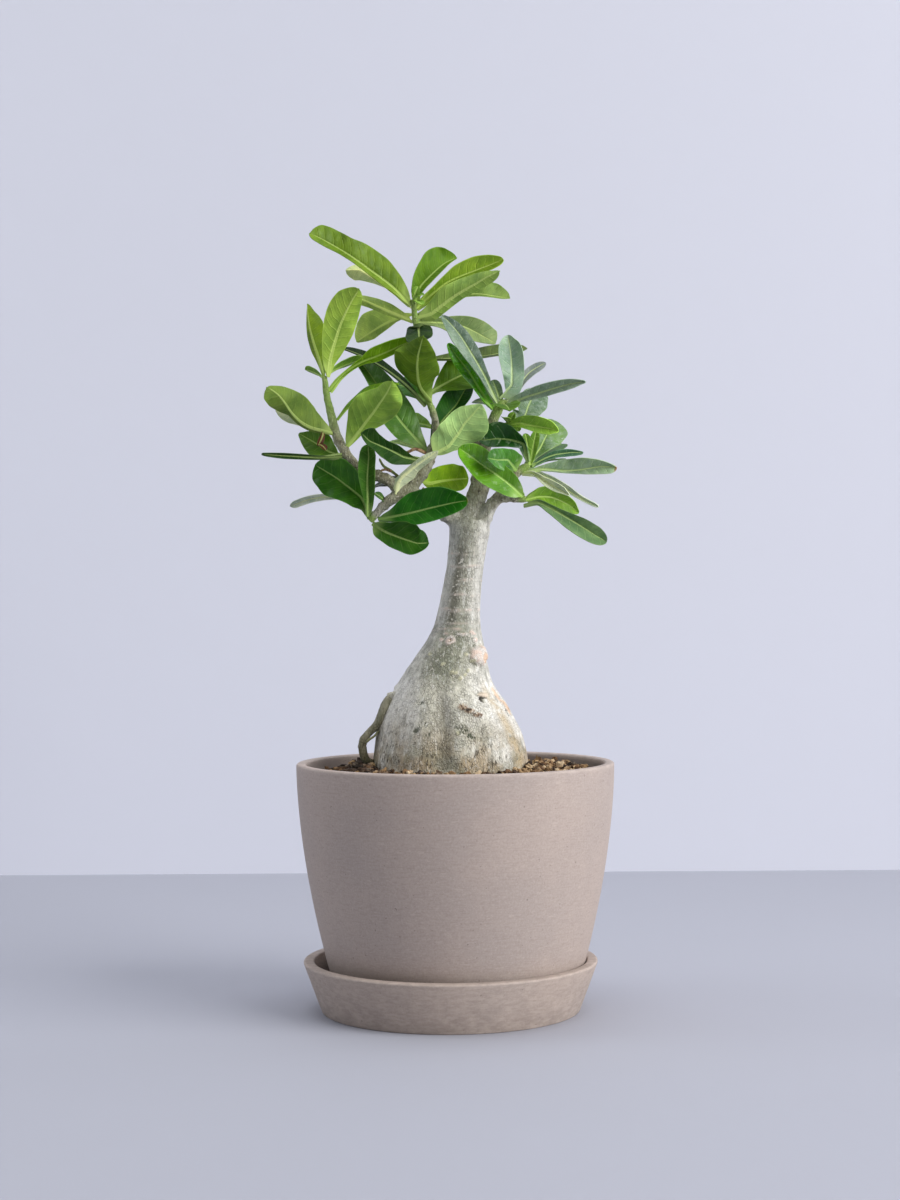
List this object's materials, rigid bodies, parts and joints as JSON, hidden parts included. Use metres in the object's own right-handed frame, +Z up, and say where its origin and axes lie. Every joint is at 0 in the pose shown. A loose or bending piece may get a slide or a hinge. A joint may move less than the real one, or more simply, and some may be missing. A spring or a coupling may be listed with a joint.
{
  "type": "potted desert rose",
  "caption": "Desert rose (adenium) with a swollen base, a short trunk and leafy branches, in a round tapered pot that stands in a round saucer.",
  "frame": {"origin": "middle of the saucer's flat underside, which stands on the table", "axes": "+Z up through the plant; the front of the plant looks along -Y and its spread is widest along X"},
  "size_m": [0.1649, 0.15, 0.3676],
  "materials": {
    "saucer": "matte taupe with a fine speckle",
    "pot": "matte taupe with a fine speckle",
    "soil": "coarse tan and brown grit",
    "bark": "smooth grey-tan bark with small scars",
    "leaf": "semi-gloss dark green with a pale midrib",
    "young_leaf": "satin yellow-green",
    "pale_leaf": "grey-green with a whitish sheen"
  },
  "bodies": {
    "root": {"saucer": "saucer", "pot": "pot", "soil": "soil", "woody_body": "bark", "leaf_top_1": "young_leaf", "leaf_top_2": "young_leaf", "leaf_top_3": "young_leaf", "leaf_top_4": "leaf", "leaf_top_5": "leaf", "leaf_top_6": "leaf", "leaf_top_7": "leaf", "leaf_top_8": "leaf", "leaf_top_9": "leaf", "leaf_top_10": "leaf", "leaf_stem_1": "leaf", "leaf_inner_1": "leaf", "leaf_inner_2": "leaf", "leaf_middle_1": "leaf", "leaf_middle_2": "leaf", "leaf_middle_3": "leaf", "leaf_middle_4": "leaf", "leaf_middle_5": "leaf", "leaf_stem_2": "leaf", "leaf_stem_3": "leaf", "leaf_stem_4": "leaf", "leaf_stem_5": "leaf", "leaf_stem_6": "leaf", "leaf_left_1": "young_leaf", "leaf_left_2": "young_leaf", "leaf_left_3": "leaf", "leaf_left_4": "leaf", "leaf_left_5": "leaf", "leaf_left_6": "leaf", "leaf_left_7": "leaf", "leaf_left_8": "leaf", "leaf_left_9": "leaf", "leaf_low_1": "leaf", "leaf_low_2": "leaf", "leaf_low_3": "leaf", "leaf_low_4": "leaf", "leaf_low_5": "leaf", "leaf_low_6": "leaf", "leaf_centre_1": "pale_leaf", "leaf_centre_2": "pale_leaf", "leaf_centre_3": "pale_leaf", "leaf_centre_4": "leaf", "leaf_centre_5": "pale_leaf", "leaf_centre_6": "leaf", "leaf_bud_1": "leaf", "leaf_bud_2": "pale_leaf", "leaf_right_1": "leaf", "leaf_right_2": "leaf", "leaf_right_3": "pale_leaf", "leaf_right_4": "leaf", "leaf_right_5": "pale_leaf", "leaf_right_6": "leaf", "leaf_right_7": "leaf", "leaf_outer_1": "leaf", "leaf_outer_2": "leaf", "leaf_outer_3": "leaf"}
  },
  "joints": []
}
